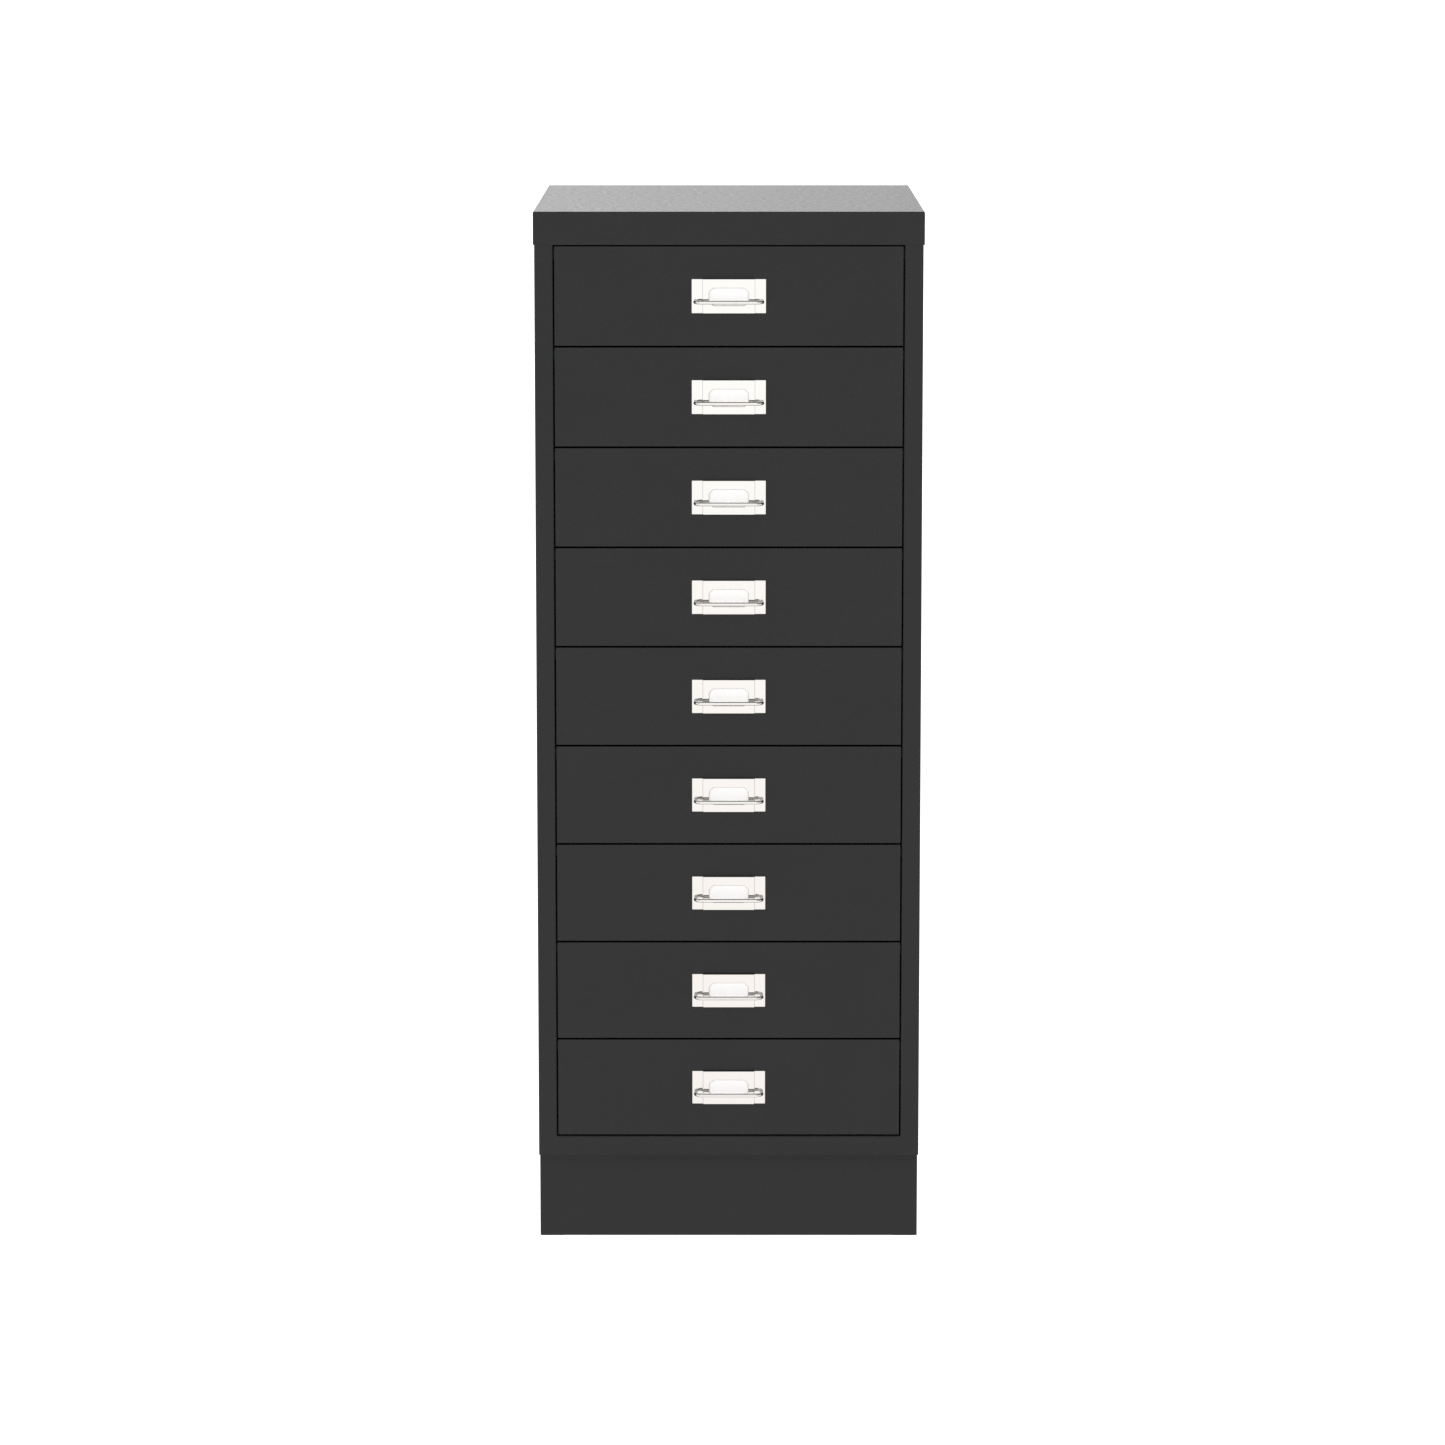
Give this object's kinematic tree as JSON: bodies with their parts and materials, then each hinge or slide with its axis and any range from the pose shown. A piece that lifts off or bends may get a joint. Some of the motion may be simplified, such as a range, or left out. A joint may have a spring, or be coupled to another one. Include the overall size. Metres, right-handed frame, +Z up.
{
  "type": "tall chest of drawers",
  "caption": "Tall narrow sheet-steel cabinet of equal sliding drawers on a recessed plinth, each drawer with a card holder and a wire bow handle.",
  "frame": {"origin": "on the floor, under the middle of the whole box, bow handles included", "axes": "+Z up; the drawers open towards -Y; +X to the right of a person facing the drawers"},
  "size_m": [0.349, 0.4454, 0.94],
  "materials": {
    "powder_coat": "satin",
    "nickel_plate": "polished",
    "label_card": "matte",
    "zinc_plate": "satin"
  },
  "bodies": {
    "carcass": {"top_cover": "powder_coat", "top_frame": "powder_coat", "back_panel": "powder_coat", "base_panel": "powder_coat", "left_side_panel": "powder_coat", "right_side_panel": "powder_coat", "left_runner_posts": "powder_coat", "right_runner_posts": "powder_coat", "left_runners": "powder_coat", "right_runners": "powder_coat", "plinth_front_rail": "powder_coat", "plinth_back_rail": "powder_coat", "left_plinth_rail": "powder_coat", "right_plinth_rail": "powder_coat", "plinth_bolts": "zinc_plate"},
    "drawer_1": {"drawer_1_front": "powder_coat", "drawer_1_tray": "powder_coat", "drawer_1_card_holder": "nickel_plate", "drawer_1_bow_handle": "nickel_plate", "drawer_1_card": "label_card"},
    "drawer_2": {"drawer_2_front": "powder_coat", "drawer_2_tray": "powder_coat", "drawer_2_card_holder": "nickel_plate", "drawer_2_bow_handle": "nickel_plate", "drawer_2_card": "label_card"},
    "drawer_3": {"drawer_3_front": "powder_coat", "drawer_3_tray": "powder_coat", "drawer_3_card_holder": "nickel_plate", "drawer_3_bow_handle": "nickel_plate", "drawer_3_card": "label_card"},
    "drawer_4": {"drawer_4_front": "powder_coat", "drawer_4_tray": "powder_coat", "drawer_4_card_holder": "nickel_plate", "drawer_4_bow_handle": "nickel_plate", "drawer_4_card": "label_card"},
    "drawer_5": {"drawer_5_front": "powder_coat", "drawer_5_tray": "powder_coat", "drawer_5_card_holder": "nickel_plate", "drawer_5_bow_handle": "nickel_plate", "drawer_5_card": "label_card"},
    "drawer_6": {"drawer_6_front": "powder_coat", "drawer_6_tray": "powder_coat", "drawer_6_card_holder": "nickel_plate", "drawer_6_bow_handle": "nickel_plate", "drawer_6_card": "label_card"},
    "drawer_7": {"drawer_7_front": "powder_coat", "drawer_7_tray": "powder_coat", "drawer_7_card_holder": "nickel_plate", "drawer_7_bow_handle": "nickel_plate", "drawer_7_card": "label_card"},
    "drawer_8": {"drawer_8_front": "powder_coat", "drawer_8_tray": "powder_coat", "drawer_8_card_holder": "nickel_plate", "drawer_8_bow_handle": "nickel_plate", "drawer_8_card": "label_card"},
    "drawer_9": {"drawer_9_front": "powder_coat", "drawer_9_tray": "powder_coat", "drawer_9_card_holder": "nickel_plate", "drawer_9_bow_handle": "nickel_plate", "drawer_9_card": "label_card"}
  },
  "joints": [
    {"name": "drawer_1_slide", "type": "slide", "parent": "carcass", "child": "drawer_1", "axis": [0, -1, 0], "range_m": [0, 0.33]},
    {"name": "drawer_2_slide", "type": "slide", "parent": "carcass", "child": "drawer_2", "axis": [0, -1, 0], "range_m": [0, 0.33]},
    {"name": "drawer_3_slide", "type": "slide", "parent": "carcass", "child": "drawer_3", "axis": [0, -1, 0], "range_m": [0, 0.33]},
    {"name": "drawer_4_slide", "type": "slide", "parent": "carcass", "child": "drawer_4", "axis": [0, -1, 0], "range_m": [0, 0.33]},
    {"name": "drawer_5_slide", "type": "slide", "parent": "carcass", "child": "drawer_5", "axis": [0, -1, 0], "range_m": [0, 0.33]},
    {"name": "drawer_6_slide", "type": "slide", "parent": "carcass", "child": "drawer_6", "axis": [0, -1, 0], "range_m": [0, 0.33]},
    {"name": "drawer_7_slide", "type": "slide", "parent": "carcass", "child": "drawer_7", "axis": [0, -1, 0], "range_m": [0, 0.33]},
    {"name": "drawer_8_slide", "type": "slide", "parent": "carcass", "child": "drawer_8", "axis": [0, -1, 0], "range_m": [0, 0.33]},
    {"name": "drawer_9_slide", "type": "slide", "parent": "carcass", "child": "drawer_9", "axis": [0, -1, 0], "range_m": [0, 0.33]}
  ]
}
